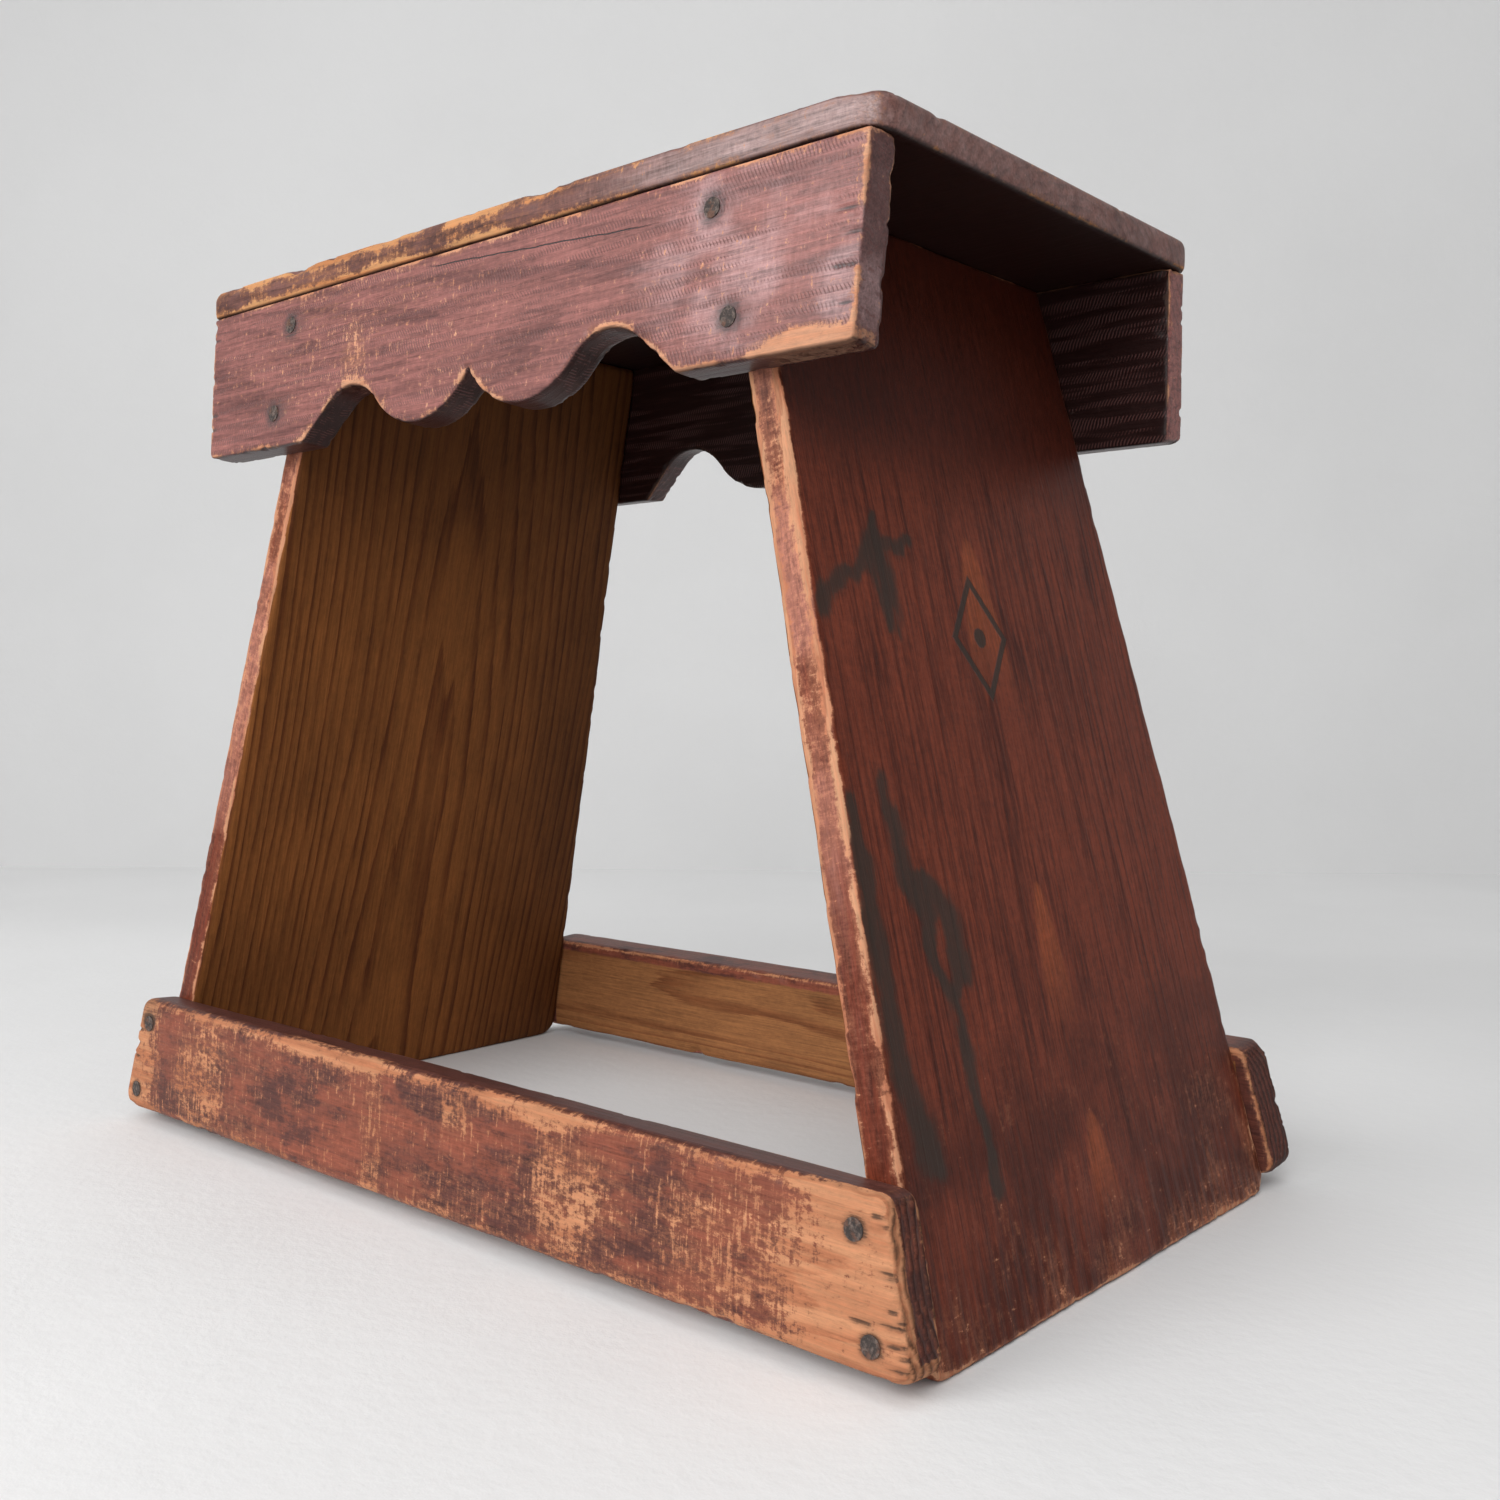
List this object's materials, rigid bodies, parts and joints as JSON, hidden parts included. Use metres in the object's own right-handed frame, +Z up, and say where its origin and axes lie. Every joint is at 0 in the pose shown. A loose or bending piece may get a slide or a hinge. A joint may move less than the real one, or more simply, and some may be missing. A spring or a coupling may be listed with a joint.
{
  "type": "wooden stool",
  "caption": "Low antique board stool with a thin seat, scalloped aprons, splayed side panels and floor-level stretchers, nailed together and worn through its old red-brown paint.",
  "frame": {"origin": "on the floor under the middle of the seat", "axes": "+X along the seat to the right, +Y to the rear, +Z up"},
  "size_m": [0.4452, 0.2743, 0.38],
  "materials": {
    "seat_wood": "old red-brown paint worn to bare wood along the edges",
    "apron_wood": "old red-brown paint, satin, scratched",
    "panel_wood": "dark red-brown paint outside, bare aged wood inside",
    "stretcher_wood": "heavily worn red-brown paint over bare wood",
    "nail_iron": "dark rusted steel wire nail"
  },
  "bodies": {
    "root": {"seat_board": "seat_wood", "front_apron": "apron_wood", "rear_apron": "apron_wood", "left_side_panel": "panel_wood", "right_side_panel": "panel_wood", "front_stretcher": "stretcher_wood", "rear_stretcher": "stretcher_wood", "front_apron_left_nails": "nail_iron", "front_apron_right_nails": "nail_iron", "rear_apron_left_nails": "nail_iron", "rear_apron_right_nails": "nail_iron", "front_stretcher_left_nails": "nail_iron", "front_stretcher_right_nails": "nail_iron", "rear_stretcher_left_nails": "nail_iron", "rear_stretcher_right_nails": "nail_iron", "seat_to_left_panel_nails": "nail_iron", "seat_to_right_panel_nails": "nail_iron", "seat_to_front_apron_nails": "nail_iron", "seat_to_rear_apron_nails": "nail_iron"}
  },
  "joints": []
}
